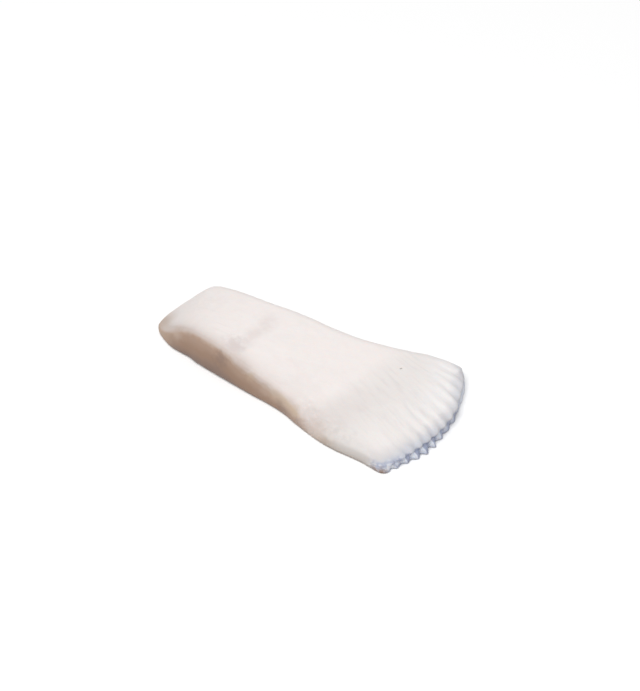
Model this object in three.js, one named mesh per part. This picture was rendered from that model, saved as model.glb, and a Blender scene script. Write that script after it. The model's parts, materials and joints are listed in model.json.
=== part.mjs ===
// Frozen turbot fillet: a portion cut across the fish, from the thick flesh beside the backbone
// (towards -X) to the thin ribbed flesh along the fin (towards +X), where the trimmed fin rays
// leave a frilled edge. It is one solid, lying on its flat underside. Millimetres, +Z up.
import * as THREE from "three";
import { mergeVertices } from "three/addons/utils/BufferGeometryUtils.js";

const { clamp, lerp, smoothstep, degToRad } = THREE.MathUtils;

// Plan outline as [x, y], seen from above. The near cut runs along -Y and the far cut along +Y.
const NEAR_CUT = [
  [-90.9, -9.4], [-86.6, -14.6], [-78.4, -19.2], [-72, -21.4], [-59, -22.9], [-52, -25], [-20, -29.3],
  [-2, -31.2], [8, -33.2], [17, -36.3], [30, -39.8], [42, -41.6], [56, -41.7], [67, -42.9],
];
const FAR_CUT = [
  [-83, 15.2], [-76.8, 20.6], [-68, 23.6], [-40, 24.3], [-17, 27.4], [2, 28.4], [15, 29.9], [27, 33.6],
  [40, 38.2], [51, 42.4], [60, 43.2], [69, 42.3],
];
const THICK_END_PULL = [-93, 3];
const FIN_ARC = { x: 9.3, y: 1.2, radius: 76.6, from: degToRad(-31.2), to: degToRad(30.2) };
const ARC_SINE_LIMIT = 0.9;
const NEAR_LOBE_PULL = [74.8, -44];
const FAR_LOBE_PULL = [76.2, 42.1];

// Mesh steps along the fillet, closer at both ends, and across it, and rows round the shoulder.
// The rows of the top take on the curves of both ends, and the fade is a power of the way there.
// The way inward from the rim is evened out over the rim within a short reach.
const STEPS_ALONG = 30;
const STEPS_ACROSS = 82;
const END_CROWDING = 0.6;
const SHOULDER_ROWS = 4;
const BEND_FADE = 3;
const INWARD_REACH = 7;

// Height of the top along the fillet: a nose that rises from the thick end, the thick flesh, and
// a long fall to the fin, where a shallow valley parts the fillet's flesh from the fin's muscle.
const TOP_AT = [-93, -84, -78, -72, -67, -62, -54, -40, -15, 5, 20, 32, 41, 55, 72, 90];
const TOP_HEIGHT = [2.4, 4.6, 8.6, 13, 16.4, 18.7, 20.6, 20.8, 18, 15, 12, 10, 9.2, 9.8, 9.4, 8.6];
const NOSE_SKEW = { slope: -0.24, y: -14, from: -75, to: -45 };
const VALLEY_SKEW = { slope: 0.33, y: 0, from: -40, to: 30 };
const NEAR_CROWN = { drop: 1.4, over: 30 };
const LOBE_DROOP = { x: 73, y: -42, depth: 2, radius: 11 };
const WAVER = { height: 0.3, lengthX: 37, lengthY: 23, phaseX: 1, phaseY: 0.5 };

// The cut wall as shares of its height, and the shoulder where it rounds over to the top:
// crisp at the thick end, soft along the thinner part of the near cut, tight round the two lobes.
const CUT_WALL = [
  { height: 0, out: -1.3 },
  { height: 0.06, out: -0.3 },
  { height: 0.2, out: 0 },
  { height: 0.62, out: -0.6 },
  { height: 1, out: -1.6 },
];
const CRISP_SHOULDER = { run: 4, drop: 0.24 };
const SOFT_SHOULDER = { run: 9, drop: 0.5 };
const NEAR_SOFTENING = { from: -12, to: 24 };
const LOBE_CRISPING = { from: 34, to: 66 };
const PLAIN_SOFTNESS = 0.2;
const LOBE_SHOULDER = { run: 1.6, from: 7, to: 24 };

// The fin edge: a lip of flesh over a recess, and below it a tooth for each trimmed ray. The lip stands
// back at each ray, and further back over the middle rays.
const LIP = { run: 5.2, drop: 0.32, scallop: 0.8, farScallop: 0.2 };
const LIP_BACK = { depth: 1.3, ray: 6, over: 1.5 };
const FIN_WALL = [
  { height: 0, out: -1.8, tooth: 0.85, lip: 0 },
  { height: 0.1, out: -0.9, tooth: 1, lip: 0 },
  { height: 0.52, out: -1.1, tooth: 0.62, lip: 0 },
  { height: 0.84, out: -1.7, tooth: 0.08, lip: 0.5 },
  { height: 1, out: -0.5, tooth: 0, lip: 1 },
];
const FIN_START = 7;
const FIN_BLEND = 5;

// Trimmed rays along the fin edge. Their spacing drifts and their reach swells and shrinks, and towards
// the far end they are short and a web of fin joins them. Both changes are lengths along the edge.
const RAY = { first: 2.2, pitch: 6.95 };
const RAY_DRIFT = { share: 0.25, length: 75, from: 15 };
const RAY_JITTER = { share: 0.06, length: 8.7 };
const TOOTH = { width: 0.84, round: 1.4, nearReach: 2.45, farReach: 0.3 };
const TOOTH_SWELL = { share: 0.38, turn: 1.185, longest: 3.2 };
const RAY_FADE = { from: 42, to: 57 };
const FAR_WEB = { depth: 1.5, from: 48, to: 80 };

// Ribs of muscle over the fin's flesh, strongest at the edge and faint at the near end. They lie between
// the rays, and the furrow between two ribs runs to a ray.
const RIB = { height: 0.78, round: 1.6, mean: 0.54, reach: 38, fade: 1.5 };
const RIB_TILT = { near: degToRad(25), far: degToRad(6) };
const RIB_SWELL = { share: 0.3, turn: 2.1 };
const RIB_TURN = { from: 0, to: 40 };
const RIB_NEAR = { share: 0.3, from: -34, to: -8 };
const RIB_PASSES = 4;

const FLESH = { color: 0xf0e9e4, roughness: 0.5, metalness: 0 };

const planePoint = ([x, y]) => new THREE.Vector2(x, y);
const topCurve = new THREE.CubicInterpolant(TOP_AT, TOP_HEIGHT, 1);

// Angle round the fin arc of its point at a given y, carried on a little way past its ends.
function finAngle(y) {
  return Math.asin(clamp((y - FIN_ARC.y) / FIN_ARC.radius, -ARC_SINE_LIMIT, ARC_SINE_LIMIT));
}

// The x of the fin arc at a given y.
function finEdgeX(y) {
  return FIN_ARC.x + FIN_ARC.radius * Math.cos(finAngle(y));
}

// Rays counted along the fin edge at a given y: a whole number at each ray.
function rayCount(y) {
  const length = FIN_ARC.radius * (finAngle(y) - FIN_ARC.from) - RAY.first;
  const drift = RAY_DRIFT.share * Math.sin((2 * Math.PI * (length - RAY_DRIFT.from)) / RAY_DRIFT.length);
  const jitter = RAY_JITTER.share * Math.sin((2 * Math.PI * length) / RAY_JITTER.length);
  return length / RAY.pitch + drift + jitter;
}

// The y at which the rib through a point of the top meets the fin edge.
function ribEnd(x, y) {
  let endY = y;
  for (let pass = 0; pass < RIB_PASSES; pass++) {
    const tilt = lerp(RIB_TILT.near, RIB_TILT.far, smoothstep(endY, RIB_TURN.from, RIB_TURN.to));
    endY = y - (finEdgeX(endY) - x) * Math.tan(tilt);
  }
  return endY;
}

// Relief of the ribs: round ridges of uneven height with soft furrows between them.
function ribRelief(x, y) {
  const endY = ribEnd(x, y);
  const fromNear = lerp(RIB_NEAR.share, 1, smoothstep(endY, RIB_NEAR.from, RIB_NEAR.to));
  const strength = fromNear * Math.pow(1 - smoothstep(finEdgeX(endY) - x, 0, RIB.reach), RIB.fade);
  const count = rayCount(endY);
  const swell = 1 + RIB_SWELL.share * Math.sin(RIB_SWELL.turn * Math.floor(count));
  const ridge = Math.pow(Math.abs(Math.sin(Math.PI * count)), RIB.round);
  return RIB.height * strength * (swell * ridge - RIB.mean);
}

// Height of the top, before its rim is rounded off.
function topHeight(x, y) {
  const nose = NOSE_SKEW.slope * (1 - smoothstep(x, NOSE_SKEW.from, NOSE_SKEW.to)) * (y - NOSE_SKEW.y);
  const valley = VALLEY_SKEW.slope * smoothstep(x, VALLEY_SKEW.from, VALLEY_SKEW.to) * (y - VALLEY_SKEW.y);
  const along = clamp(x - nose - valley, TOP_AT[0], TOP_AT.at(-1));
  const crown = NEAR_CROWN.drop * (Math.min(y, 0) / NEAR_CROWN.over) ** 2;
  const fromLobe = Math.hypot(x - LOBE_DROOP.x, y - LOBE_DROOP.y) / LOBE_DROOP.radius;
  const droop = LOBE_DROOP.depth * Math.exp(-fromLobe * fromLobe);
  const waverX = Math.sin(x / WAVER.lengthX + WAVER.phaseX);
  const waverY = Math.sin(y / WAVER.lengthY + WAVER.phaseY);
  const waver = WAVER.height * waverX * waverY;
  return topCurve.evaluate(along)[0] - crown - droop + waver + ribRelief(x, y);
}

// Share of the far end's short rays at a given count of rays.
function farShare(count) {
  return smoothstep(count * RAY.pitch, RAY_FADE.from, RAY_FADE.to);
}

// How far the tooth at a given y reaches past the fin edge.
function toothReach(y) {
  const count = rayCount(y);
  const ray = Math.round(count);
  const swell = 1 + TOOTH_SWELL.share * Math.cos(TOOTH_SWELL.turn * (ray - TOOTH_SWELL.longest));
  const reach = lerp(TOOTH.nearReach, TOOTH.farReach, farShare(ray)) * swell;
  const away = (2 * Math.abs(count - ray)) / TOOTH.width;
  const web = FAR_WEB.depth * smoothstep(count * RAY.pitch, FAR_WEB.from, FAR_WEB.to);
  return web + reach * Math.max(1 - Math.pow(away, TOOTH.round), 0);
}

// How far the lip at a given y stands back from its line.
function lipBack(y) {
  const count = rayCount(y);
  const away = (count - LIP_BACK.ray) / LIP_BACK.over;
  const scallop = lerp(LIP.scallop, LIP.farScallop, farShare(count));
  return LIP_BACK.depth * Math.exp(-away * away) + scallop * Math.cos(2 * Math.PI * count);
}

// Points along a cut, crowded towards both of its ends.
function cutPoints(corners) {
  const curve = new THREE.SplineCurve(corners.map(planePoint));
  return Array.from({ length: STEPS_ALONG + 1 }, (_, i) => {
    const even = i / STEPS_ALONG;
    return curve.getPointAt(lerp(even, (1 - Math.cos(Math.PI * even)) / 2, END_CROWDING));
  });
}

// The fin edge from the near lobe round to the far one.
function finPath() {
  const path = new THREE.Path();
  path.moveTo(...NEAR_CUT.at(-1));
  path.quadraticCurveTo(
    ...NEAR_LOBE_PULL,
    FIN_ARC.x + FIN_ARC.radius * Math.cos(FIN_ARC.from),
    FIN_ARC.y + FIN_ARC.radius * Math.sin(FIN_ARC.from));
  path.absarc(FIN_ARC.x, FIN_ARC.y, FIN_ARC.radius, FIN_ARC.from, FIN_ARC.to);
  path.quadraticCurveTo(...FAR_LOBE_PULL, ...FAR_CUT.at(-1));
  return path;
}

// The way inward at a point of the rim: square to the mean run of the rim close by.
function wayInward(rim, point) {
  const along = new THREE.Vector2();
  rim.forEach((spot, i) => {
    const before = rim.at(i - 1).point;
    const after = rim[(i + 1) % rim.length].point;
    const weight = Math.max(1 - spot.point.distanceTo(point) / INWARD_REACH, 0);
    along.addScaledVector(after.clone().sub(before), weight);
  });
  return new THREE.Vector2(-along.y, along.x).normalize();
}

// The rim, counterclockwise from the near corner of the thick end. Each point has the way inward,
// the softness of its shoulder and its share of the fin edge's profile.
function makeRim() {
  const fin = finPath();
  const finStep = fin.getLength() / STEPS_ACROSS;
  const thickEnd = new THREE.QuadraticBezierCurve(
    planePoint(NEAR_CUT[0]), planePoint(THICK_END_PULL), planePoint(FAR_CUT[0]));
  const near = cutPoints(NEAR_CUT).map((point) => {
    const soft = smoothstep(point.x, NEAR_SOFTENING.from, NEAR_SOFTENING.to);
    const crisp = smoothstep(point.x, LOBE_CRISPING.from, LOBE_CRISPING.to);
    return { point, finShare: 0, softness: lerp(soft, PLAIN_SOFTNESS, crisp) };
  });
  const edge = fin.getSpacedPoints(STEPS_ACROSS).map((point, j) => ({
    point, finShare: smoothstep(Math.min(j, STEPS_ACROSS - j) * finStep, FIN_START, FIN_START + FIN_BLEND),
    softness: PLAIN_SOFTNESS,
  }));
  const plain = (point) => ({ point, finShare: 0, softness: PLAIN_SOFTNESS });
  const far = cutPoints(FAR_CUT).map(plain);
  const end = thickEnd.getSpacedPoints(STEPS_ACROSS).map(plain);
  const rim = [
    ...near.slice(0, -1),
    ...edge.slice(0, -1),
    ...far.slice(1).reverse(),
    ...end.slice(1).reverse(),
  ];
  return rim.map((spot) => ({ ...spot, inward: wayInward(rim, spot.point) }));
}

// One rim point's profile, from the underside up the wall and over the shoulder.
function rimProfile({ point, inward, finShare, softness }) {
  const at = (inset) => point.clone().addScaledVector(inward, inset);
  const lobes = [planePoint(NEAR_LOBE_PULL), planePoint(FAR_LOBE_PULL)];
  const fromLobe = Math.min(...lobes.map((lobe) => point.distanceTo(lobe)));
  const plainShare = smoothstep(fromLobe, LOBE_SHOULDER.from, LOBE_SHOULDER.to);
  const plainRun = lerp(CRISP_SHOULDER.run, SOFT_SHOULDER.run, softness);
  const run = lerp(lerp(LOBE_SHOULDER.run, plainRun, plainShare), LIP.run, finShare);
  const drop = lerp(lerp(CRISP_SHOULDER.drop, SOFT_SHOULDER.drop, softness), LIP.drop, finShare);
  const brow = at(run);
  const wallHeight = topHeight(brow.x, brow.y) * (1 - drop);
  const tooth = toothReach(point.y);
  const back = lipBack(point.y);
  const profile = CUT_WALL.map((cut, row) => {
    const edge = FIN_WALL[row];
    const spot = at(-lerp(cut.out, edge.out + edge.tooth * tooth - edge.lip * back, finShare));
    return new THREE.Vector3(spot.x, spot.y, wallHeight * lerp(cut.height, edge.height, finShare));
  });
  const lipInset = -lerp(CUT_WALL.at(-1).out, FIN_WALL.at(-1).out - back, finShare);
  for (let row = 1; row <= SHOULDER_ROWS; row++) {
    const turn = (row / SHOULDER_ROWS) * (Math.PI / 2);
    const spot = at(lipInset + run * (1 - Math.cos(turn)));
    const height = lerp(wallHeight, topHeight(spot.x, spot.y), Math.sin(turn));
    profile.push(new THREE.Vector3(spot.x, spot.y, height));
  }
  return profile;
}

// Points of the top as a grid within the ring that bounds it. Its rows run straight across from the
// near side to the far side, and take on the curves of the fin edge and the thick end close to them.
function topGrid(ring) {
  const nearSide = (i) => ring[i];
  const farSide = (i) => ring[2 * STEPS_ALONG + STEPS_ACROSS - i];
  const finSide = (j) => ring[STEPS_ALONG + j];
  const endSide = (j) => ring[(ring.length - j) % ring.length];
  const straight = (i, j) => nearSide(i).clone().lerp(farSide(i), j / STEPS_ACROSS);
  const between = (i, j) => {
    const finBend = finSide(j).clone().sub(straight(STEPS_ALONG, j));
    const endBend = endSide(j).clone().sub(straight(0, j));
    const point = straight(i, j);
    point.addScaledVector(finBend, Math.pow(i / STEPS_ALONG, BEND_FADE));
    point.addScaledVector(endBend, Math.pow(1 - i / STEPS_ALONG, BEND_FADE));
    return point.setZ(topHeight(point.x, point.y));
  };
  const pointAt = (i, j) => {
    if (j === 0) return nearSide(i);
    if (j === STEPS_ACROSS) return farSide(i);
    if (i === 0) return endSide(j);
    return i === STEPS_ALONG ? finSide(j) : between(i, j);
  };
  return Array.from({ length: STEPS_ALONG + 1 }, (_, i) =>
    Array.from({ length: STEPS_ACROSS + 1 }, (__, j) => pointAt(i, j)));
}

// The closed skin: underside, rows of the rim's profiles, and the top within the last row.
function makeSkin(profiles) {
  const corners = [];
  const quad = (a, b, c, d) => {
    if (b.distanceTo(d) < a.distanceTo(c)) corners.push(a, b, d, b, c, d);
    else corners.push(a, b, c, a, c, d);
  };
  const underside = profiles.map((profile) => profile[0]);
  const outline = underside.map(({ x, y }) => new THREE.Vector2(x, y));
  for (const [a, b, c] of THREE.ShapeUtils.triangulateShape(outline, [])) {
    corners.push(underside[c], underside[b], underside[a]);
  }
  profiles.forEach((profile, i) => {
    const next = profiles[(i + 1) % profiles.length];
    for (let row = 0; row < profile.length - 1; row++) {
      quad(profile[row], next[row], next[row + 1], profile[row + 1]);
    }
  });
  const grid = topGrid(profiles.map((profile) => profile.at(-1)));
  for (let i = 0; i < STEPS_ALONG; i++) {
    for (let j = 0; j < STEPS_ACROSS; j++) {
      quad(grid[i][j], grid[i + 1][j], grid[i + 1][j + 1], grid[i][j + 1]);
    }
  }
  return new THREE.BufferGeometry().setFromPoints(corners);
}

// The fillet, with the origin on its underside below the middle of its box.
function makeFillet() {
  const geometry = mergeVertices(makeSkin(makeRim().map(rimProfile)));
  geometry.computeBoundingBox();
  const middle = geometry.boundingBox.getCenter(new THREE.Vector3());
  geometry.translate(-middle.x, -middle.y, 0);
  geometry.computeVertexNormals();
  const mesh = new THREE.Mesh(geometry, new THREE.MeshStandardMaterial(FLESH));
  mesh.name = "fillet";
  return mesh;
}

const part = new THREE.Group();
part.add(makeFillet());

export default part;
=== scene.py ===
"""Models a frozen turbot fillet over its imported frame, with its finish, its stage and its camera.

Lengths are metres. +X runs from the thick end to the fin edge, -Y is the shown cut side, +Z is up.
"""

import json
import math

import bpy
import numpy as np
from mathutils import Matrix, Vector
from mathutils.kdtree import KDTree

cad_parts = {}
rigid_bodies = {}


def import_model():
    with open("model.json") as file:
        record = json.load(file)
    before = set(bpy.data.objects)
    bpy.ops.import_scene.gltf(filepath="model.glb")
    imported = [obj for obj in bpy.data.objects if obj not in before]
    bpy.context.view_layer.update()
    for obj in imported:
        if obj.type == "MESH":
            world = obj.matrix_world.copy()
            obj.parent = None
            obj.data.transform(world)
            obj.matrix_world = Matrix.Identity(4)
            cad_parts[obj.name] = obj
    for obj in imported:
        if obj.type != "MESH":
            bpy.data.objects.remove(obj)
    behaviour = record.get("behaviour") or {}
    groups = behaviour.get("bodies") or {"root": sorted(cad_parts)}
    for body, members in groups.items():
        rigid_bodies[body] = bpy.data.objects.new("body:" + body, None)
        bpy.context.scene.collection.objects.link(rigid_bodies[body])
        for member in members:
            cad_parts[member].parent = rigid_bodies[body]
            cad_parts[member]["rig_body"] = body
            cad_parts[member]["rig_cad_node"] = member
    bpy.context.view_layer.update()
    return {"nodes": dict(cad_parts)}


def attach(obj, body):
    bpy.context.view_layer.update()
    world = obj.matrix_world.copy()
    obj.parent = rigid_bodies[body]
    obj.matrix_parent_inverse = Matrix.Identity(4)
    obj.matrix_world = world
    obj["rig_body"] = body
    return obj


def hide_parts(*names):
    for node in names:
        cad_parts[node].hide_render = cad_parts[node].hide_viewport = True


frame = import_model()

bl_info = {
    "name": "Turbot Fillet",
    "version": (1, 0, 0),
    "blender": (4, 5, 0),
    "location": "3D View > Sidebar > Fillet",
    "description": "Models a frozen turbot fillet with a ribbed fan and a frilled fin edge",
    "category": "Object",
}

NODE = "fillet"
PIECE = "turbot_fillet"
MM = 0.001
MERGE_DISTANCE = 0.001 * MM
FLOOR_GAP = 0.1 * MM

# The fin edge is an arc in plan, with a row of trimmed rays whose spacing drifts a little.
FIN_CENTRE = (11.534 * MM, 1.145 * MM)
FIN_RADIUS = 76.6 * MM
FIN_FROM = math.radians(-31.2)
FIN_SINE_LIMIT = 0.9
RAY_FIRST = 2.2 * MM
RAY_PITCH = 6.95 * MM
RAY_DRIFT = 0.25
RAY_DRIFT_LENGTH = 75 * MM
RAY_DRIFT_FROM = 15 * MM
RAY_JITTER = 0.06
RAY_JITTER_LENGTH = 8.7 * MM

# A furrow between two ribs of muscle runs back from each ray, at a tilt that turns along the fin edge.
RIB_TILT = math.radians(25)
RIB_FAR_TILT = math.radians(6)
RIB_TURN = (0, 40 * MM)
RIB_SEARCHES = 4
RIB_REACH = 38 * MM
RIB_NEAR = (-34 * MM, -8 * MM)
RIB_NEAR_SHARE = 0.3

# The fan begins along a slanting line: how far it moves in x for each metre of y.
FAN_SLANT = 0.33

# The near cut side runs from the tip of the thick end to the near lobe of the fin edge.
NEAR_CUT_TIP = (-88.5 * MM, -9.5 * MM, 2 * MM)
NEAR_CUT_END = 72 * MM
WALL_NORMAL_Z = 0.4
NEAR_LOBE = (76.5 * MM, -41.5 * MM, 0)

# The flesh ends round beside the near lobe, as a ball with this middle and radius would.
FLESH_END = (69.5 * MM, -31 * MM, 4.7 * MM)
FLESH_END_RADIUS = 9.2 * MM


def ease(value, low, high):
    """Smooth step from 0 at low to 1 at high."""
    share = np.clip((value - low) / (high - low), 0, 1)
    return share * share * (3 - 2 * share)


def fin_angle(y):
    """Angle round the fin arc of its point at a given y."""
    return np.arcsin(np.clip((y - FIN_CENTRE[1]) / FIN_RADIUS, -FIN_SINE_LIMIT, FIN_SINE_LIMIT))


def fin_edge_x(y):
    """The x of the fin arc at a given y."""
    return FIN_CENTRE[0] + FIN_RADIUS * np.cos(fin_angle(y))


def rib_end(x, y):
    """The y at which the rib through a point of the top meets the fin edge."""
    end = y
    for _ in range(RIB_SEARCHES):
        tilt = RIB_TILT + (RIB_FAR_TILT - RIB_TILT) * ease(end, *RIB_TURN)
        end = y - (fin_edge_x(end) - x) * np.tan(tilt)
    return end


def ray_count(y):
    """Rays counted along the fin edge at a given y: a whole number at each ray."""
    length = FIN_RADIUS * (fin_angle(y) - FIN_FROM) - RAY_FIRST
    drift = RAY_DRIFT * np.sin(2 * np.pi * (length - RAY_DRIFT_FROM) / RAY_DRIFT_LENGTH)
    jitter = RAY_JITTER * np.sin(2 * np.pi * length / RAY_JITTER_LENGTH)
    return length / RAY_PITCH + drift + jitter


class FilletShape(bpy.types.PropertyGroup):
    """Sizes of the fillet's surface."""

    skin_step: bpy.props.FloatProperty(
        name="Skin Step", description="Size of the faces of the skin",
        default=0.62 * MM, min=0.4 * MM, unit="LENGTH", precision=5)
    smoothing: bpy.props.IntProperty(
        name="Smoothing", description="Passes that round the flesh off", default=10, min=0)
    lump_size: bpy.props.FloatProperty(
        name="Lump Size", description="Width of the soft unevenness of the flesh",
        default=11 * MM, unit="LENGTH", precision=5)
    lump_depth: bpy.props.FloatProperty(
        name="Lump Depth", description="Depth of the soft unevenness of the flesh",
        default=0.5 * MM, unit="LENGTH", precision=5)
    fibre_width: bpy.props.FloatProperty(
        name="Fibre Width", description="Width of a bundle of muscle fibres",
        default=1.9 * MM, unit="LENGTH", precision=5)
    fibre_length: bpy.props.FloatProperty(
        name="Fibre Length", description="How many times longer a bundle is than wide",
        default=11, min=1)
    fibre_depth: bpy.props.FloatProperty(
        name="Fibre Depth", description="Relief of the muscle fibres",
        default=0.1 * MM, unit="LENGTH", precision=5)
    rough_size: bpy.props.FloatProperty(
        name="Rough Size", description="Width of the lumps of the torn flesh beside the thin cut side",
        default=2.6 * MM, unit="LENGTH", precision=5)
    rough_depth: bpy.props.FloatProperty(
        name="Rough Depth", description="Depth of those lumps",
        default=1.1 * MM, unit="LENGTH", precision=5)
    lip_overhang: bpy.props.FloatProperty(
        name="Lip Overhang", description="How far the lip is drawn out over the middle rays",
        default=1.7 * MM, unit="LENGTH", precision=5)
    body_lay: bpy.props.FloatProperty(
        name="Body Lay", description="Direction of the fibres in the thick flesh",
        default=math.radians(20), subtype="ANGLE")
    fan_lay: bpy.props.FloatProperty(
        name="Fan Lay", description="Direction of the fibres in the ribbed fan",
        default=math.radians(-24), subtype="ANGLE")


def colour(name, description, default):
    """A colour that a user can change."""
    return bpy.props.FloatVectorProperty(
        name=name, description=description, default=default, size=3, min=0, max=1, subtype="COLOR")


class FilletColours(bpy.types.PropertyGroup):
    """Colours of the fillet, from its white top to its tan cut sides and blue-grey fin edge."""

    flesh: colour("Flesh", "Pinkish white of the top", (0.80, 0.748, 0.728))
    # Grey of random patches and streaks, and also painted shade towards the thick end, along the valley
    # before the fan and in one spot near the cut side.
    grey_and_shade: colour("Shaded Flesh", "Greyer patches of the top", (0.66, 0.605, 0.585))
    fan: colour("Fan", "Cooler white of the ribbed fan", (0.757, 0.72, 0.70))
    fan_edge: colour("Fan Edge", "Cold white of the fan towards the fin edge", (0.79, 0.765, 0.758))
    # Painted shade in the furrows between the ribs and where the flesh turns down to the lip.
    furrow_shade: colour("Furrow", "Grey of the furrows between the ribs", (0.52, 0.505, 0.525))
    # Partly the beige of the cut edge, partly painted shade where the top slopes down to the near cut side.
    rim: colour("Rim", "Pale beige of the top along the near cut side", (0.55, 0.475, 0.44))
    brow: colour("Brow", "Beige where the cut sides turn over to the top", (0.45, 0.35, 0.288))
    cut: colour("Cut Side", "Tan of the cut sides", (0.30, 0.195, 0.138))
    cut_high: colour("High Cut Side", "Light tan along the top of the cut sides", (0.375, 0.258, 0.192))
    # Partly brown of the flesh, partly painted shade low on the cut sides.
    cut_low: colour("Low Cut Side", "Brown along the bottom of the cut sides", (0.21, 0.142, 0.115))
    cut_gold: colour("Golden Cut Side", "Golden tan where the cut side thins", (0.51, 0.395, 0.293))
    cut_tip: colour("Tip", "Beige of the cut side at the tip of the thick end", (0.45, 0.338, 0.262))
    thin_cut: colour("Thin Cut Side", "Beige of the thin cut sides beside the fan", (0.58, 0.48, 0.405))
    thin_low: colour("Low Thin Side", "Darker beige along the bottom of those", (0.36, 0.27, 0.205))
    end_cut: colour("End Cut Side", "Grey of the cut sides beside the fin edge", (0.59, 0.555, 0.535))
    end_low: colour("Low End Side", "Darker grey along the bottom of those", (0.44, 0.40, 0.368))
    lip: colour("Lip", "Pale blue of the lip over the fin edge", (0.50, 0.517, 0.568))
    # Fin Edge is also the painted shade on the shaded side of each ray and along the fold by the near lobe.
    fin: colour("Fin Edge", "Blue-grey of the frilled fin edge", (0.31, 0.34, 0.45))
    # Painted light: the lit side of each trimmed ray, and the far rays painted lighter.
    fin_lit: colour("Pale Fin Edge", "Paler sides of the trimmed rays", (0.68, 0.71, 0.78))
    fin_lobe: colour("Near Lobe", "Lilac grey of the near lobe of the fin edge", (0.68, 0.685, 0.715))
    # Painted shade between the rays, in the hollows under the lip and at the foot of the frill.
    fin_shade: colour("Deep Fin Edge", "Dark blue between the rays and under the lip", (0.22, 0.24, 0.35))
    # Brown stains along the lower edges, and painted shadow along the foot of the cut sides and under the
    # near lobe.
    brown_and_foot_shadow: colour("Rust", "Brown along the lower edges of the trimmed rays", (0.24, 0.16, 0.12))
    speck: colour("Speck", "Dark specks", (0.16, 0.14, 0.13))
    smudge: colour("Smudge", "Pinkish grey smudges", (0.60, 0.53, 0.515))


class FilletStage(bpy.types.PropertyGroup):
    """The floor, the lights and the camera."""

    floor: colour("Floor", "Colour of the floor", (0.93, 0.93, 0.93))
    floor_size: bpy.props.FloatProperty(
        name="Floor Size", description="Side of the square floor", default=12, unit="LENGTH")
    sky: bpy.props.FloatProperty(name="Sky", description="Strength of the light all round", default=0.38)
    top_light: bpy.props.FloatProperty(
        name="Top Light", description="Power of the large light overhead", default=216, unit="POWER")
    light_size: bpy.props.FloatProperty(
        name="Light Size", description="Diameter of that light", default=4.2, unit="LENGTH")
    light_place: bpy.props.FloatVectorProperty(
        name="Light Place", description="Where that light hangs",
        default=(0.15, -1.65, 4.5), size=3, subtype="TRANSLATION")
    azimuth: bpy.props.FloatProperty(
        name="Azimuth", description="Turn of the camera round the fillet",
        default=math.radians(31.5), subtype="ANGLE")
    elevation: bpy.props.FloatProperty(
        name="Elevation", description="Height of the camera over the floor, as an angle",
        default=math.radians(42), subtype="ANGLE")
    distance: bpy.props.FloatProperty(
        name="Distance", description="From the camera to its target", default=0.9, unit="LENGTH")
    target: bpy.props.FloatVectorProperty(
        name="Target", description="Point that the camera looks at",
        default=(-3.2 * MM, 23.71 * MM, 0), size=3, subtype="TRANSLATION")
    lens: bpy.props.FloatProperty(
        name="Lens", description="Focal length of the camera in millimetres", default=85.25)
    sensor: bpy.props.FloatProperty(
        name="Sensor", description="Width of the camera's sensor in millimetres", default=36)


def select_only(piece):
    """Selects one object and makes it active."""
    bpy.ops.object.select_all(action="DESELECT")
    piece.select_set(True)
    bpy.context.view_layer.objects.active = piece


def apply_modifier(piece, kind, **settings):
    """Adds a modifier with its settings and applies it."""
    modifier = piece.modifiers.new(kind.title(), kind)
    for name, value in settings.items():
        setattr(modifier, name, value)
    select_only(piece)
    bpy.ops.object.modifier_apply(modifier=modifier.name)


def read_points(mesh):
    """Places and normals of a mesh's points, one row each."""
    count = len(mesh.vertices)
    places = np.empty(count * 3, np.float32)
    normals = np.empty(count * 3, np.float32)
    mesh.vertices.foreach_get("co", places)
    mesh.vertex_normals.foreach_get("vector", normals)
    return places.reshape(-1, 3).astype(float), normals.reshape(-1, 3).astype(float)


def spread(mesh, values, passes):
    """Evens out values over a mesh's points, each pass taking the mean of the points around."""
    count = len(mesh.vertices)
    edges = np.empty(len(mesh.edges) * 2, np.int32)
    mesh.edges.foreach_get("vertices", edges)
    edges = edges.reshape(-1, 2)
    points = np.concatenate([edges[:, 0], edges[:, 1]])
    around = np.concatenate([edges[:, 1], edges[:, 0]])
    degree = np.maximum(np.bincount(points, minlength=count), 1)
    columns = values.reshape(count, -1).T.copy()
    for _ in range(passes):
        columns = np.array([np.bincount(points, row[around], count) / degree for row in columns])
    return columns.T.reshape(values.shape)


def add_group(piece, name, weights, levels=40):
    """Adds a vertex group with a weight for each point."""
    group = piece.vertex_groups.new(name=name)
    steps = np.rint(np.clip(weights, 0, 1) * levels).astype(int)
    for step in range(1, levels + 1):
        chosen = np.flatnonzero(steps == step)
        if len(chosen):
            group.add(chosen.tolist(), step / levels, "REPLACE")
    return group.name


def add_mask(piece, name, values):
    """Adds a value for each point that the material can read."""
    attribute = piece.data.attributes.new(name, "FLOAT", "POINT")
    attribute.data.foreach_set("value", np.asarray(values, np.float32))


def fin_reach(places):
    """How far each point lies beyond the fin arc, less than nothing within it."""
    ahead = np.maximum(places[:, 0] - FIN_CENTRE[0], 0)
    return np.where(ahead > 0, np.hypot(ahead, places[:, 1] - FIN_CENTRE[1]), 0) - FIN_RADIUS


def from_near_cut(places, normals):
    """How far each point lies from the near cut side, seen from above."""
    upright = np.abs(normals[:, 2]) < WALL_NORMAL_Z
    wall = upright & (places[:, 1] < NEAR_CUT_TIP[1]) & (places[:, 0] < NEAR_CUT_END)
    tree = KDTree(int(wall.sum()))
    for i, (x, y, _) in enumerate(places[wall]):
        tree.insert((x, y, 0), i)
    tree.balance()
    return np.array([tree.find((x, y, 0))[2] for x, y, _ in places])


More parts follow.
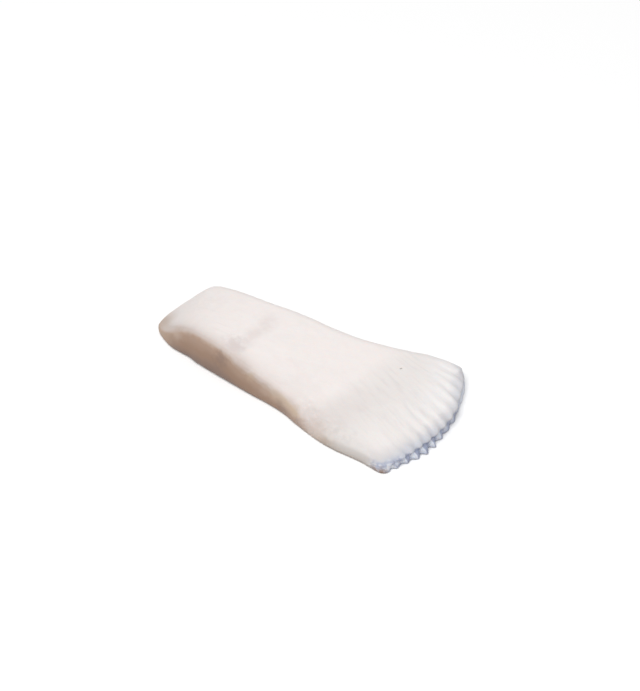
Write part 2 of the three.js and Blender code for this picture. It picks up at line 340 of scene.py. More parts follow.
def push_by_noise(piece, name, group, size, depth, stretch=1, lay=0):
    """Moves the skin in and out by a soft noise, stretched along a lay."""
    noise = bpy.data.textures.new(name, "CLOUDS")
    noise.noise_scale = size
    noise.noise_depth = 2
    bpy.ops.object.empty_add(location=(0, 0, 0), rotation=(0, 0, lay))
    space = bpy.context.active_object
    space.scale = (stretch, 1, 1)
    bpy.context.view_layer.update()
    apply_modifier(
        piece, "DISPLACE", texture=noise, texture_coords="OBJECT", texture_coords_object=space,
        vertex_group=group, strength=depth, mid_level=0.5)
    bpy.data.objects.remove(space)
    bpy.data.textures.remove(noise)


class FILLET_OT_flesh(bpy.types.Operator):
    """Model the fillet's flesh over its solid"""

    bl_idname = "fillet.flesh"
    bl_label = "Fillet"

    def execute(self, context):
        shape = context.scene.fillet_shape
        piece = self.copy_solid()
        self.even_skin(piece, shape)
        self.relief(piece, shape)
        self.masks(piece)
        self.overhang(piece, shape)
        select_only(piece)
        bpy.ops.object.shade_smooth()
        piece.data.materials.append(flesh_material(context.scene.fillet_colours))
        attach(piece, "root")
        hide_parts(NODE)
        return {"FINISHED"}

    def copy_solid(self):
        """A copy of the solid, as one merged mesh."""
        select_only(frame["nodes"][NODE])
        bpy.ops.object.duplicate()
        piece = bpy.context.active_object
        bpy.ops.object.parent_clear(type="CLEAR_KEEP_TRANSFORM")
        piece.name = PIECE
        piece.data.name = PIECE
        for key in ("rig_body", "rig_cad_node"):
            del piece[key]
        piece.data.materials.clear()
        bpy.ops.object.mode_set(mode="EDIT")
        bpy.ops.mesh.select_all(action="SELECT")
        bpy.ops.mesh.remove_doubles(threshold=MERGE_DISTANCE)
        bpy.ops.mesh.customdata_custom_splitnormals_clear()
        bpy.ops.object.mode_set(mode="OBJECT")
        return piece

    def even_skin(self, piece, shape):
        """Remakes the skin in small even faces and rounds it off, least at the fin edge."""
        fin_starts = (-4 * MM, -2 * MM)
        fin_kept = 0.95
        apply_modifier(piece, "REMESH", mode="VOXEL", voxel_size=shape.skin_step, use_smooth_shade=True)
        places, _ = read_points(piece.data)
        soft = 1 - fin_kept * ease(fin_reach(places), *fin_starts)
        group = add_group(piece, "soft_flesh", soft)
        apply_modifier(piece, "SMOOTH", factor=0.5, iterations=shape.smoothing, vertex_group=group)

    def relief(self, piece, shape):
        """Adds the unevenness of the flesh and the lay of its fibres, clear of the underside."""
        underside = (0.4 * MM, 2 * MM)
        fin_starts = (-6 * MM, -1 * MM)
        fin_spared = 0.6
        fan_starts = (5 * MM, 35 * MM)
        facing_up = (0.2, 0.8)
        fibres_on_sides = 0.35
        torn_from = (12 * MM, 22 * MM)
        torn_to = (38 * MM, 52 * MM)
        torn_width = (6 * MM, 14 * MM)
        places, normals = read_points(piece.data)
        x, y, z = places.T
        clear = ease(z, *underside)
        loose = 1 - fin_spared * ease(fin_reach(places), *fin_starts)
        fan = ease(x - FAN_SLANT * y, *fan_starts)
        fibres = fibres_on_sides + (1 - fibres_on_sides) * ease(normals[:, 2], *facing_up)
        torn = ease(x, *torn_from) * (1 - ease(x, *torn_to))
        torn *= 1 - ease(from_near_cut(places, normals), *torn_width)
        rough = add_group(piece, "rough_flesh", clear * torn)
        lumps = add_group(piece, "lumps", clear * loose)
        body = add_group(piece, "body_fibres", clear * (1 - fan) * fibres)
        ribbed = add_group(piece, "fan_fibres", clear * fan * loose * fibres)
        push_by_noise(piece, "flesh_lumps", lumps, shape.lump_size, shape.lump_depth)
        push_by_noise(piece, "rough_flesh", rough, shape.rough_size, shape.rough_depth)
        push_by_noise(
            piece, "body_fibres", body, shape.fibre_width, shape.fibre_depth,
            shape.fibre_length, shape.body_lay)
        push_by_noise(
            piece, "fan_fibres", ribbed, shape.fibre_width, shape.fibre_depth,
            shape.fibre_length, shape.fan_lay)
        piece.vertex_groups.clear()

    def masks(self, piece):
        """Adds the values that tell the material where on the fillet it is, with lengths in millimetres."""
        calm_passes = 6
        hollow_passes = 40
        slice_count = 60
        mesh = piece.data
        places, normals = read_points(mesh)
        x, y, z = places.T
        calm = spread(mesh, normals, calm_passes)
        calm /= np.linalg.norm(calm, axis=1)[:, None]
        mean = spread(mesh, places, hollow_passes)
        hollow = np.einsum("ij,ij->i", mean - places, calm) / MM
        end = rib_end(x, y)
        count = ray_count(end)
        rib = (1 - ease(fin_edge_x(end) - x, 0, RIB_REACH)) * (
            RIB_NEAR_SHARE + (1 - RIB_NEAR_SHARE) * ease(end, *RIB_NEAR))
        ray = ray_count(y)
        slices = np.linspace(x.min(), x.max(), slice_count)
        slot = np.clip(np.searchsorted(slices, x), 1, slice_count - 1)
        peaks = np.zeros(slice_count)
        np.maximum.at(peaks, slot, z)
        add_mask(piece, "steep", 1 - calm[:, 2])
        add_mask(piece, "hollow", hollow)
        add_mask(piece, "rise", z / np.interp(x, slices[1:], peaks[1:]))
        add_mask(piece, "inland", from_near_cut(places, normals) / MM)
        add_mask(piece, "fin_reach", fin_reach(places) / MM)
        # Where the furrows lie, for the painted shade in them.
        add_mask(piece, "furrow_shade", np.cos(np.pi * count) ** 2 * rib)
        add_mask(piece, "rib_line", count)
        add_mask(piece, "ray_side", ray - np.rint(ray))
        add_mask(piece, "height", z / MM)

    def overhang(self, piece, shape):
        """Draws the lip out over the middle rays of the frill."""
        rays_from = (-16 * MM, 3 * MM)
        rays_to = (10 * MM, 20 * MM)
        lip_height = (2.5 * MM, 5.5 * MM)
        lip_starts = (-16 * MM, -4 * MM)
        places, _ = read_points(piece.data)
        _, y, z = places.T
        rays = ease(y, *rays_from) * (1 - ease(y, *rays_to))
        lip = rays * ease(z, *lip_height) * ease(fin_reach(places), *lip_starts)
        group = add_group(piece, "lip", lip)
        apply_modifier(
            piece, "DISPLACE", direction="X", strength=shape.lip_overhang, mid_level=0, vertex_group=group)
        piece.vertex_groups.clear()


class Nodes:
    """Adds nodes to a material and joins them, and gives each one's main output."""

    def __init__(self, tree):
        self.tree = tree

    def feed(self, socket, value):
        """Joins a socket to another's output or sets its value."""
        if isinstance(value, bpy.types.NodeSocket):
            self.tree.links.new(value, socket)
        else:
            socket.default_value = value

    def mask(self, name):
        """One of the piece's own values."""
        node = self.tree.nodes.new("ShaderNodeAttribute")
        node.attribute_name = name
        return node.outputs["Fac"]

    def math(self, kind, *values):
        """One step of arithmetic."""
        node = self.tree.nodes.new("ShaderNodeMath")
        node.operation = kind
        for socket, value in zip(node.inputs, values):
            self.feed(socket, value)
        return node.outputs["Value"]

    def plus(self, total, *others):
        """Numbers added up."""
        for other in others:
            total = self.math("ADD", total, other)
        return total

    def minus(self, value, other):
        """One number less another."""
        return self.math("SUBTRACT", value, other)

    def times(self, product, *others):
        """Numbers multiplied together."""
        for other in others:
            product = self.math("MULTIPLY", product, other)
        return product

    def ramp(self, value, low, high, to_low=0.0, to_high=1.0):
        """Smooth step of a value between two limits."""
        node = self.tree.nodes.new("ShaderNodeMapRange")
        node.interpolation_type = "SMOOTHSTEP"
        for name, setting in (
            ("Value", value), ("From Min", low), ("From Max", high), ("To Min", to_low), ("To Max", to_high),
        ):
            self.feed(node.inputs[name], setting)
        return node.outputs["Result"]

    def grow(self, value, low, high, share):
        """Nothing at the lower limit of a value, growing to a share at the upper one."""
        return self.ramp(value, low, high, 0.0, share)

    def fade(self, value, low, high, share=1.0):
        """A share at the lower limit of a value, fading to nothing at the upper one."""
        return self.ramp(value, low, high, share, 0.0)

    def place(self, scale=(1, 1, 1), turn=0.0):
        """Object coordinates, turned and scaled."""
        where = self.tree.nodes.new("ShaderNodeTexCoord")
        mapping = self.tree.nodes.new("ShaderNodeMapping")
        mapping.inputs["Rotation"].default_value = (0, 0, turn)
        mapping.inputs["Scale"].default_value = scale
        self.tree.links.new(where.outputs["Object"], mapping.inputs["Vector"])
        return mapping.outputs["Vector"]

    def noise(self, vector, scale, detail=2.0, roughness=0.5):
        """A soft noise from 0 to 1."""
        node = self.tree.nodes.new("ShaderNodeTexNoise")
        self.feed(node.inputs["Vector"], vector)
        node.inputs["Scale"].default_value = scale
        node.inputs["Detail"].default_value = detail
        node.inputs["Roughness"].default_value = roughness
        return node.outputs["Fac"]

    def mix(self, share, first, second):
        """A colour between two colours."""
        node = self.tree.nodes.new("ShaderNodeMix")
        node.data_type = "RGBA"
        self.feed(node.inputs["Factor"], share)
        for name, value in (("A", first), ("B", second)):
            socket = next(s for s in node.inputs if s.name == name and s.type == "RGBA")
            if isinstance(value, bpy.types.NodeSocket):
                self.tree.links.new(value, socket)
            else:
                socket.default_value = (*value, 1)
        return next(s for s in node.outputs if s.type == "RGBA")

    def stops(self, value, *marks):
        """A colour from a row of colours, each at its place from 0 to 1."""
        node = self.tree.nodes.new("ShaderNodeValToRGB")
        ramp = node.color_ramp
        ramp.interpolation = "EASE"
        while len(ramp.elements) < len(marks):
            ramp.elements.new(1)
        for element, (place, tint) in zip(ramp.elements, marks):
            element.position = place
            element.color = (*tint, 1)
        self.feed(node.inputs["Fac"], value)
        return node.outputs["Color"]

    def joined(self, x, y):
        """A place from two numbers."""
        node = self.tree.nodes.new("ShaderNodeCombineXYZ")
        for socket, value in zip(node.inputs, (x, y)):
            self.feed(socket, value)
        return node.outputs["Vector"]

    def parted(self, vector):
        """The first two numbers of a place."""
        node = self.tree.nodes.new("ShaderNodeSeparateXYZ")
        self.feed(node.inputs["Vector"], vector)
        return node.outputs["X"], node.outputs["Y"]

    def away(self, centre, wobble=0.0):
        """Distance from a point, made uneven by a wobble."""
        where = self.tree.nodes.new("ShaderNodeTexCoord")
        node = self.tree.nodes.new("ShaderNodeVectorMath")
        node.operation = "DISTANCE"
        self.tree.links.new(where.outputs["Object"], node.inputs[0])
        node.inputs[1].default_value = centre
        return self.plus(node.outputs["Value"], wobble)

    def spot(self, centre, size, share, wobble=0.0):
        """A share at a point of the surface, fading to nothing at its size."""
        return self.times(self.fade(self.away(centre, wobble), 0.0, size), share)


# How fine each unevenness of the colour is: its waves, the layers of finer ones and their strength.
BROAD = (38, 3)
PATCH = (130, 3)
SMEAR = (170, 3)
SWIRL = (190, 3)
FLECK = (330, 3, 0.6)
GRAIN = (1500, 2)
BODY_STREAK = (480, 3, 0.6)
RIB_STREAK = (2.3, 2)
MARK_EDGE = (1500, 4, 0.7)

# Ranges of such an unevenness: all of it from its hollows to its crests, and the crests alone.
WAVES = (0.3, 0.7)
CRESTS = (0.45, 0.8)

# Single marks: the place and the size of each in millimetres, how ragged it is, its colour and its share.
MARKS = (
    ((48.7, 21.6, 9.4), 0.9, 0.6, "speck", 0.9),
    ((-34.8, -25.6, 11.5), 7, 0.5, "cut_low", 0.5),
    ((25.0, -33.0, 7.0), 12, 0.25, "smudge", 0.45),
    # A spot of grey and painted shade on the top near the cut side.
    ((14.0, -22.0, 11.0), 26, 0.3, "grey_and_shade", 0.25),
    ((-32.0, -17.8, 19.8), 8, 0.4, "smudge", 0.7),
    ((-79.0, -12.0, 11.0), 3, 0.6, "cut", 0.6),
    # Brown and painted shadow under the near lobe.
    ((74.0, -42.8, -0.3), 4.6, 0.25, "brown_and_foot_shadow", 1.0),
    ((70.2, -43.2, -0.6), 4.4, 0.25, "brown_and_foot_shadow", 1.0),
    # Painted shade at the ends of two furrows near the lip.
    ((79.5, 36.0, 8.5), 6, 0.4, "furrow_shade", 0.7),
    ((85.0, 2.2, 8.0), 5, 0.3, "furrow_shade", 0.55),
    ((31.5, -37.5, 4.8), 9.5, 0.25, "rim", 0.85),
    ((-22.0, -28.3, 12.8), 5.5, 0.3, "cut_high", 0.5),
    ((-14.0, -29.0, 12.6), 5, 0.3, "cut_gold", 0.5),
    ((16.0, -33.4, 6.3), 5, 0.3, "cut_gold", 0.6),
    ((7.0, -32.3, 2.4), 7, 0.3, "cut_low", 0.45),
    ((-67.5, -19.8, 11.3), 6, 0.3, "brow", 0.65),
    ((-69.0, -21.3, 3.0), 6, 0.3, "cut_low", 0.25),
)


class FleshPaint:
    """Mixes the colour of the flesh, one part of the fillet after another.

    Places along the fillet are in metres, and limits of the lengths that the piece carries in millimetres.
    """

    def __init__(self, tree, colours):
        near_rays = (-20 * MM, 8 * MM)
        cut_thins = (18 * MM, 28 * MM)
        cut_ends = (27 * MM, 52 * MM)
        thin_wander = 30 * MM
        n = Nodes(tree)
        self.nodes = n
        self.colours = colours
        self.steep = n.mask("steep")
        self.rise = n.mask("rise")
        self.hollow = n.mask("hollow")
        self.inland = n.mask("inland")
        self.reach = n.mask("fin_reach")
        self.furrow_shade = n.mask("furrow_shade")
        self.rib_line = n.mask("rib_line")
        self.side = n.mask("ray_side")
        self.height = n.mask("height")
        self.x, self.y = n.parted(n.place())
        self.broad = n.noise(n.place(), *BROAD)
        self.patch = n.noise(n.place(), *PATCH)
        self.mottle = n.ramp(self.patch, *WAVES, -0.05, 0.04)
        self.near_fin = n.fade(self.y, *near_rays)
        self.thinned = n.ramp(n.plus(self.x, n.times(self.mottle, thin_wander)), *cut_thins)
        self.ended = n.ramp(self.x, *cut_ends)

    def whole(self):
        """The colour of the whole fillet."""
        top = self.rim(self.fan(self.body()))
        base = self.fin_edge(self.turned_over(top))
        return self.marks(self.near_lobe(base))

    def body(self):
        """Pinkish white of the thick flesh, with grey streaks and patches, painted shade towards the thick
        end and a smudged seam across it.
        """
        n, colours = self.nodes, self.colours
        streak_stretch = (0.09, 1, 1)
        streak_lay = math.radians(-20)
        streaks_fade = (-40 * MM, 10 * MM)
        thick_end = (-75 * MM, -35 * MM)
        seam_back = (24 * MM, 31 * MM)
        seam_width = 7 * MM
        seam_ends = (5 * MM, 18 * MM)
        streak = n.noise(n.place(streak_stretch, streak_lay), *BODY_STREAK)
        streaks = n.times(
            n.ramp(streak, *CRESTS),
            n.grow(self.broad, 0.4, 0.65, share=0.3),
            n.ramp(self.x, *streaks_fade, 1.0, 0.2))
        body = n.mix(n.grow(self.patch, *CRESTS, share=0.16), colours.flesh, colours.grey_and_shade)
        body = n.mix(streaks, body, colours.grey_and_shade)
        # Painted shade on the slope of the thick end.
        body = n.mix(n.fade(self.x, *thick_end, share=0.22), body, colours.grey_and_shade)
        off_seam = n.math("ABSOLUTE", n.plus(self.x, n.ramp(self.broad, *WAVES, *seam_back)))
        seam = n.times(
            n.fade(off_seam, 0.0, seam_width, share=0.38),
            n.ramp(n.noise(n.place(), *SMEAR), 0.35, 0.6, 0.5, 1.0),
            n.fade(self.y, *seam_ends))
        return n.mix(seam, body, colours.smudge)

    def fan(self, body):
        """Cooler white of the ribbed fan, with painted shade in the furrows that deepens towards the fin
        edge, painted shade where the flesh turns down to the lip, and grey and painted shade along the
        valley.
        """
        n, colours = self.nodes, self.colours
        fan_starts = (28 * MM, 40 * MM)
        fan_wander = (2.5 * MM, -2.5 * MM)
        cold_reach = (-30.0, -8.0)
        streak_length = 0.03
        dab_reach = (-10.0, -4.0)
        grey_corner = (-34 * MM, -6 * MM)
        grey_reach = (-14.0, -3.0)
        valley_starts = (29 * MM, 39 * MM)
        valley_ends = (42 * MM, 68 * MM)
        valley_near = (-30 * MM, 10 * MM)
        across = n.minus(self.x, n.times(self.y, FAN_SLANT))
        across = n.plus(across, n.ramp(self.broad, *WAVES, *fan_wander))
        cold = n.times(n.ramp(self.reach, *cold_reach), n.ramp(self.near_fin, 0.0, 1.0, 1.0, 0.3))
        streak = n.noise(n.joined(self.rib_line, n.times(self.reach, streak_length)), *RIB_STREAK)
        # Painted shade along the furrows, broken up.
        broken_furrow_shade = n.times(
            self.furrow_shade,
            n.ramp(self.patch, 0.3, 0.6, 0.5, 1.0),
            n.ramp(self.near_fin, 0.0, 1.0, 0.4, 1.0))
        ribbed = n.mix(cold, colours.fan, colours.fan_edge)
        # Streaks of the furrows' painted shade along the ribs.
        ribbed = n.mix(n.grow(streak, *CRESTS, share=0.26), ribbed, colours.furrow_shade)
        ribbed = n.mix(n.grow(broken_furrow_shade, 0.2, 1.0, share=0.3), ribbed, colours.furrow_shade)
        top = n.mix(n.ramp(across, *fan_starts), body, ribbed)
        # Darker painted shade in the furrows near the lip.
        lip_furrow_shade = n.times(
            n.ramp(self.furrow_shade, 0.25, 0.85),
            n.grow(self.reach, *dab_reach, share=0.9),
            n.ramp(self.near_fin, 0.2, 1.0, 0.28, 0.95))
        top = n.mix(lip_furrow_shade, top, colours.furrow_shade)
        # Painted shade where the near flesh turns down to the lip.
        lip_turn_shade = n.times(n.fade(self.y, *grey_corner, share=0.6), n.ramp(self.reach, *grey_reach))
        top = n.mix(lip_turn_shade, top, colours.furrow_shade)
        # Grey of the flesh and painted shade along the valley between the thick flesh and the fan.
        valley_grey_and_shade = n.times(
            n.ramp(across, *valley_starts),
            n.fade(across, *valley_ends),
            n.ramp(self.y, *valley_near, 0.65, 0.1))
        return n.mix(valley_grey_and_shade, top, colours.grey_and_shade)

    def rim(self, top):
        """Beige along the edge of the near cut side, partly painted shade on its sloping shoulder, painted
        shade on the slope at the tip, and dull flecks where that side is thin.
        """
        n, colours = self.nodes, self.colours
        rim_narrows = (-75 * MM, -55 * MM)
        rim_width = (4.5, 2.0)
        left_after_each_mm = 0.7
        faint_from = (-22 * MM, -10 * MM)
        faint_to = (4 * MM, 14 * MM)
        thin_rim = (22 * MM, 36 * MM)
        dull_width = (3.0, 13.0)
        dull_from = (14 * MM, 26 * MM)
        dull_to = (46 * MM, 60 * MM)
        tip_slope_shade = 34 * MM
        brown_tip = 16 * MM
        # The beige edge tint, partly painted shade on the sloping shoulder.
        past_rim = n.minus(self.inland, n.ramp(self.x, *rim_narrows, *rim_width))
        soft_edge = n.times(
            n.math("POWER", left_after_each_mm, n.math("MAXIMUM", past_rim, 0.0)),
            n.plus(n.ramp(self.x, *faint_from, 1.0, 0.65), n.grow(self.x, *faint_to, share=0.35)),
            n.ramp(self.x, *thin_rim, 1.0, 0.75))
        tint = n.mix(self.thinned, colours.rim, colours.thin_cut)
        tint = n.mix(self.ended, tint, colours.end_cut)
        base = n.mix(soft_edge, top, tint)
        dull = n.times(
            n.fade(self.inland, *dull_width, share=0.75),
            n.ramp(n.noise(n.place(), *FLECK), 0.38, 0.62, 0.4, 1.0),
            n.ramp(self.x, *dull_from),
            n.ramp(self.x, *dull_to, 1.0, 0.3))
        base = n.mix(dull, base, colours.end_cut)
        # Painted shade on the slope at the tip of the thick end.
        base = n.mix(n.spot(NEAR_CUT_TIP, tip_slope_shade, share=0.35), base, colours.end_cut)
        return n.mix(n.spot(NEAR_CUT_TIP, brown_tip, share=0.75), base, colours.brow)

    def turned_over(self, top):
        """The top, turned over into the cut sides where the flesh is steep, later away from the near one."""
        n = self.nodes
        away = (6.0, 12.0)
        tip_starts = (-80 * MM, -65 * MM)
        tip_nearer = 3.0
        later_at_tip = (-75 * MM, -60 * MM)
        inland = n.plus(self.inland, n.fade(self.x, *tip_starts, share=tip_nearer))
        later = n.times(n.ramp(inland, *away), n.ramp(self.x, *later_at_tip, 0.45, 0.33))
        return n.mix(n.ramp(n.minus(self.steep, later), 0.14, 0.5), top, self.cut_side())

    def cut_side(self):
        """Tan of the cut sides, darker towards the bottom, partly their own brown and partly painted shade,
        golden and then beige as they thin, with brown and painted shadow along the foot.
        """
        n, colours = self.nodes, self.colours
        pale_starts = (-42 * MM, 0.0)
        pale_tip = (-85 * MM, -52 * MM)
        beige_tip = (-88 * MM, -60 * MM)
        gold_starts = (-8 * MM, 13 * MM)
        foot = (0.6, 2.0)
        uneven = n.ramp(self.broad, *WAVES, -0.05, 0.03)
        pale = n.plus(n.grow(self.x, *pale_starts, share=0.32), n.fade(self.x, *pale_tip, share=0.18))
        # Darker towards the bottom of the cut sides, partly their own brown and partly painted shade.
        wall = n.stops(
            n.plus(self.rise, pale, n.plus(self.mottle, uneven)),
            (0.02, colours.cut_low), (0.45, colours.cut), (0.75, colours.cut_high), (0.88, colours.brow),
            (1.0, colours.rim))
        wall = n.mix(n.grow(self.patch, 0.5, 0.8, share=0.3), wall, colours.cut)
        wall = n.mix(n.fade(self.x, *beige_tip, share=0.8), wall, colours.cut_tip)
        gold = n.times(
            n.ramp(self.rise, 0.22, 0.5),
            n.fade(self.rise, 0.65, 0.95),
            n.grow(self.x, *gold_starts, share=0.95))
        wall = n.mix(gold, wall, colours.cut_gold)
        thin = n.mix(n.ramp(n.plus(self.rise, self.mottle), 0.0, 0.7), colours.thin_low, colours.thin_cut)
        wall = n.mix(self.thinned, wall, thin)
        end = n.mix(n.ramp(self.rise, 0.0, 0.7), colours.end_low, colours.end_cut)
        wall = n.mix(self.ended, wall, end)
        # Brown line and painted shadow along the foot of the cut sides.
        return n.mix(n.fade(self.height, *foot, share=0.45), wall, colours.brown_and_foot_shadow)

    def fin_edge(self, base):
        """Pale blue of the lip, and the frill under it."""
        n = self.nodes
        lip_starts = (-8.0, -1.5)
        lip_wander = (-1.2, 1.2)
        frill_starts = (-4.5, -2.5)
        frill_top = (4.9, 6.4)
        lobe_ends = (-34 * MM, -27 * MM)
        lip = n.ramp(n.plus(self.reach, n.ramp(self.patch, *WAVES, *lip_wander)), *lip_starts)
        lip = n.times(lip, n.ramp(self.near_fin, 0.0, 1.0, 0.4, 0.7))
        base = n.mix(lip, base, self.colours.lip)
        on_lobe = n.times(n.fade(self.y, *lobe_ends, share=0.8), n.fade(self.steep, 0.15, 0.5))
        edge = n.times(
            n.ramp(self.reach, *frill_starts),
            n.ramp(self.height, *frill_top, 1.0, 0.12),
            n.minus(1.0, on_lobe))
        return n.mix(edge, base, self.frill())

    def frill(self):
        """Blue-grey of the trimmed rays, with painted light on one side of each and painted shade on the
        other, painted shade in the gaps, the hollows and at the foot, brown stains low down, and the far
        rays painted lighter.
        """
        n, colours = self.nodes, self.colours
        shaded_side = (-0.14, -0.02)
        gap_side = (0.32, 0.44)
        gap_reach = (-3.0, 0.0)
        bluer = (-12 * MM, 4 * MM)
        stain_height = (0.2, 0.9)
        foot = (0.3, 2.6)
        far_rays = (12 * MM, 24 * MM)
        # Painted shade in the gaps between the rays.
        gap_shade = n.times(
            n.ramp(n.math("ABSOLUTE", self.side), *gap_side),
            n.ramp(self.reach, *gap_reach, 0.8, 0.4))
        stain = n.times(n.fade(self.height, *stain_height, share=0.6), n.ramp(self.patch, 0.45, 0.65))
        # Painted light on one side of each ray and painted shade on the other.
        frill = n.mix(n.ramp(self.side, *shaded_side), colours.fin_lit, colours.fin)
        frill = n.mix(n.grow(self.patch, 0.45, 0.7, share=0.25), frill, colours.fin)
        frill = n.mix(n.grow(self.y, *bluer, share=0.4), frill, colours.fin)
        frill = n.mix(gap_shade, frill, colours.fin_shade)
        # Painted shade in the hollows of the frill, such as under the lip.
        frill = n.mix(n.grow(self.hollow, 0.1, 0.7, share=0.7), frill, colours.fin_shade)
        frill = n.mix(stain, frill, colours.brown_and_foot_shadow)
        # Painted shade at the foot of the rays.
        frill = n.mix(n.fade(self.height, *foot, share=0.5), frill, colours.fin_shade)
        # The far rays painted lighter.
        return n.mix(n.grow(self.y, *far_rays, share=0.75), frill, colours.fin_lit)

    def near_lobe(self, base):
        """Lilac grey of the near lobe, veined with blue, and a painted shadow along the fold between it and
        the flesh.
        """
        n, colours = self.nodes, self.colours
        lobe_size = (5 * MM, 14 * MM)
        fold_wander = (-0.8 * MM, 0.8 * MM)
        lobe_starts = (-1 * MM, 1 * MM)
        lobe_height = (0.5, 2.5)
        fold_width = 1.3 * MM
        fold_height = (2.5, 4.0)
        vein_stretch = (1, 1, 2)
        vein_width = 0.1
        swirl = n.math("ABSOLUTE", n.minus(n.noise(n.place(vein_stretch), *SWIRL), 0.5))
        lobe = n.mix(n.fade(swirl, 0.0, vein_width, share=0.9), colours.fin_lobe, colours.fin)
        at_lobe = n.fade(n.away(NEAR_LOBE), *lobe_size)
        from_flesh = n.away(FLESH_END, n.ramp(self.patch, *WAVES, *fold_wander))
        past_fold = n.minus(from_flesh, FLESH_END_RADIUS)
        lobed = n.times(
            n.grow(past_fold, *lobe_starts, share=0.85),
            n.ramp(self.height, *lobe_height, 0.3, 1.0),
            at_lobe)
        base = n.mix(lobed, base, lobe)
        # Painted shadow along the fold between the lobe and the flesh.
        fold_shadow = n.times(
            n.fade(n.math("ABSOLUTE", past_fold), 0.0, fold_width, share=0.6),
            n.ramp(self.height, *fold_height),
            at_lobe)
        return n.mix(fold_shadow, base, colours.fin)

    def marks(self, base):
        """The single marks, each with a ragged edge."""
        n = self.nodes
        edge_waves, *edge_layers = MARK_EDGE
        for place, size, ragged, tint, share in MARKS:
            edge = n.noise(n.place(), edge_waves / size, *edge_layers)
            wobble = n.ramp(edge, 0.25, 0.75, -ragged * size * MM, ragged * size * MM)
            mark = n.spot([c * MM for c in place], size * MM, share, wobble)
            base = n.mix(mark, base, getattr(self.colours, tint))
        return base


def flesh_material(colours):
    """White frozen flesh, tan on the cut sides and blue-grey at the frilled fin edge."""
    material = bpy.data.materials.new("turbot_flesh")
    material.use_nodes = True
    tree = material.node_tree
    shader = tree.nodes["Principled BSDF"]
    paint = FleshPaint(tree, colours)
    n = paint.nodes
    n.feed(shader.inputs["Base Color"], paint.whole())
    n.feed(shader.inputs["Roughness"], n.ramp(paint.patch, *WAVES, 0.5, 0.62))
    shader.inputs["Specular IOR Level"].default_value = 0.35
    shader.inputs["Subsurface Weight"].default_value = 0.15
    shader.inputs["Subsurface Radius"].default_value = (1.0, 0.6, 0.45)
    shader.inputs["Subsurface Scale"].default_value = 1.0 * MM
    bump = tree.nodes.new("ShaderNodeBump")
    bump.inputs["Strength"].default_value = 0.3
    bump.inputs["Distance"].default_value = 0.12 * MM
    n.feed(bump.inputs["Height"], n.plus(paint.patch, n.noise(n.place(), *GRAIN)))
    n.feed(shader.inputs["Normal"], bump.outputs["Normal"])
    return material


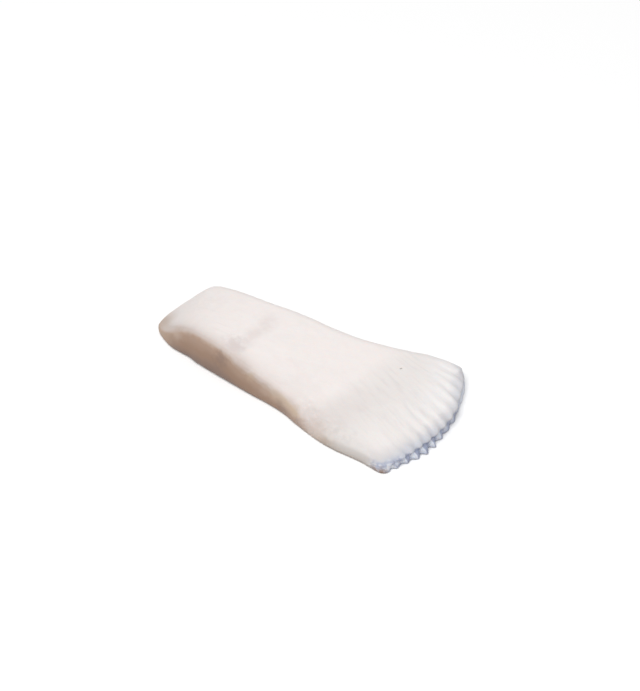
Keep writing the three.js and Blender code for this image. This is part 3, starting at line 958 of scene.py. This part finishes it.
class FILLET_OT_stage(bpy.types.Operator):
    """Set the floor, the lights and the camera"""

    bl_idname = "fillet.stage"
    bl_label = "Stage"

    def execute(self, context):
        stage = context.scene.fillet_stage
        self.floor(stage)
        self.lights(context.scene, stage)
        self.camera(context.scene, stage)
        return {"FINISHED"}

    def floor(self, stage):
        """A plain pale floor under the fillet."""
        bpy.ops.object.select_all(action="DESELECT")
        bpy.ops.mesh.primitive_plane_add(size=stage.floor_size, location=(0, 0, -FLOOR_GAP))
        floor = bpy.context.active_object
        floor.name = "floor"
        bpy.ops.object.transform_apply(location=True, rotation=True, scale=True)
        material = bpy.data.materials.new("pale_floor")
        material.use_nodes = True
        shader = material.node_tree.nodes["Principled BSDF"]
        shader.inputs["Base Color"].default_value = (*stage.floor, 1)
        shader.inputs["Roughness"].default_value = 0.9
        shader.inputs["Specular IOR Level"].default_value = 0.1
        floor.data.materials.append(material)

    def lights(self, scene, stage):
        """Even light all round, and a large soft light overhead, a little in front of the fillet."""
        world = bpy.data.worlds.new("soft_sky")
        world.use_nodes = True
        sky = world.node_tree.nodes["Background"]
        sky.inputs["Color"].default_value = (1, 1, 1, 1)
        sky.inputs["Strength"].default_value = stage.sky
        scene.world = world
        lamp = bpy.data.lights.new("top_light", "AREA")
        lamp.shape = "DISK"
        lamp.size = stage.light_size
        lamp.energy = stage.top_light
        light = bpy.data.objects.new("top_light", lamp)
        light.location = stage.light_place
        light.rotation_mode = "QUATERNION"
        light.rotation_quaternion = (-light.location).to_track_quat("-Z", "Y")
        scene.collection.objects.link(light)
        scene.view_settings.view_transform = "Standard"

    def camera(self, scene, stage):
        """The camera, aimed at its target."""
        flat = math.cos(stage.elevation)
        back = Vector((
            math.sin(stage.azimuth) * flat, -math.cos(stage.azimuth) * flat, math.sin(stage.elevation)))
        lens = bpy.data.cameras.new("camera")
        lens.sensor_width = stage.sensor
        lens.lens = stage.lens
        lens.clip_start = 0.01
        camera = bpy.data.objects.new("camera", lens)
        camera.location = Vector(stage.target) + back * stage.distance
        camera.rotation_mode = "QUATERNION"
        camera.rotation_quaternion = (-back).to_track_quat("-Z", "Y")
        scene.collection.objects.link(camera)
        scene.camera = camera


class FILLET_PT_panel(bpy.types.Panel):
    """Lists the fillet's operators and settings"""

    bl_idname = "FILLET_PT_panel"
    bl_label = "Turbot Fillet"
    bl_space_type = "VIEW_3D"
    bl_region_type = "UI"
    bl_category = "Fillet"

    def draw(self, context):
        layout = self.layout
        for operator in (FILLET_OT_flesh, FILLET_OT_stage):
            layout.operator(operator.bl_idname)
        for group in ("fillet_shape", "fillet_colours", "fillet_stage"):
            settings = getattr(context.scene, group)
            box = layout.box()
            for name in settings.bl_rna.properties.keys():
                if name not in ("rna_type", "name"):
                    box.prop(settings, name)


classes = (FilletShape, FilletColours, FilletStage, FILLET_OT_flesh, FILLET_OT_stage, FILLET_PT_panel)


def register():
    """Registers the classes and the scene's settings."""
    for cls in classes:
        bpy.utils.register_class(cls)
    bpy.types.Scene.fillet_shape = bpy.props.PointerProperty(type=FilletShape)
    bpy.types.Scene.fillet_colours = bpy.props.PointerProperty(type=FilletColours)
    bpy.types.Scene.fillet_stage = bpy.props.PointerProperty(type=FilletStage)


def unregister():
    """Removes the scene's settings and the classes."""
    del bpy.types.Scene.fillet_stage
    del bpy.types.Scene.fillet_colours
    del bpy.types.Scene.fillet_shape
    for cls in reversed(classes):
        bpy.utils.unregister_class(cls)


def main():
    """Builds the fillet and its stage."""
    register()
    bpy.ops.fillet.flesh()
    bpy.ops.fillet.stage()


if __name__ == "__main__":
    main()
